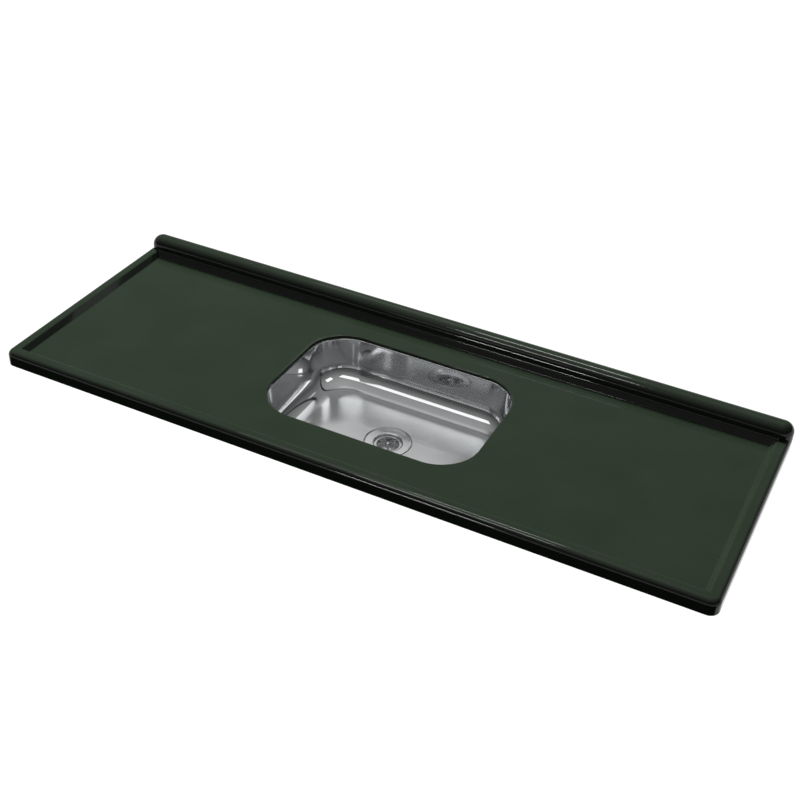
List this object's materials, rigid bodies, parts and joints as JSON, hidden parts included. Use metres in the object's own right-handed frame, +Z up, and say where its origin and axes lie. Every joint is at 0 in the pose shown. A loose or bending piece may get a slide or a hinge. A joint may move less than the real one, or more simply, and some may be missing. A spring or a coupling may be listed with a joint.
{
  "type": "composite sink top with undermounted bowl",
  "caption": "Dark green cast composite sink top with a raised drip lip, a rolled upstand, an undermounted polished steel bowl and a strainer waste with a lift-out basket.",
  "frame": {"origin": "on the seating face under the top, at the middle of the wall side", "axes": "+X along the wall, to the right as seen from the front; +Y to the wall; +Z up"},
  "size_m": [1.5, 0.55, 0.231],
  "materials": {
    "composite": "gloss",
    "timber": "sawn",
    "polished_steel": "mirror polished",
    "bright_steel": "bright",
    "zinc_steel": "satin",
    "brass": "turned",
    "rubber": "matt",
    "sealant": "satin",
    "bitumen": "matt",
    "black_plastic": "moulded"
  },
  "bodies": {
    "sink": {"worktop": "composite", "front_bearer": "timber", "rear_bearer": "timber", "end_bearers": "timber", "cross_bearers": "timber", "bowl": "polished_steel", "bowl_sealant": "sealant", "damping_pads": "bitumen", "clip_inserts": "brass", "bowl_clips": "zinc_steel", "clip_washers": "zinc_steel", "clip_screws": "zinc_steel", "waste_cup": "bright_steel", "upper_gasket": "rubber", "under_gasket": "rubber", "outlet_body": "black_plastic", "outlet_tail": "black_plastic", "bridge_nut": "brass", "centre_bolt": "bright_steel", "bolt_washer": "bright_steel"},
    "strainer": {"basket": "bright_steel", "basket_base": "bright_steel", "basket_seal": "rubber", "basket_knob": "bright_steel", "basket_rivet": "bright_steel"}
  },
  "joints": [
    {"name": "basket_lift", "type": "slide", "parent": "sink", "child": "strainer", "axis": [0, 0, 1], "range_m": [0, 0.03]}
  ]
}
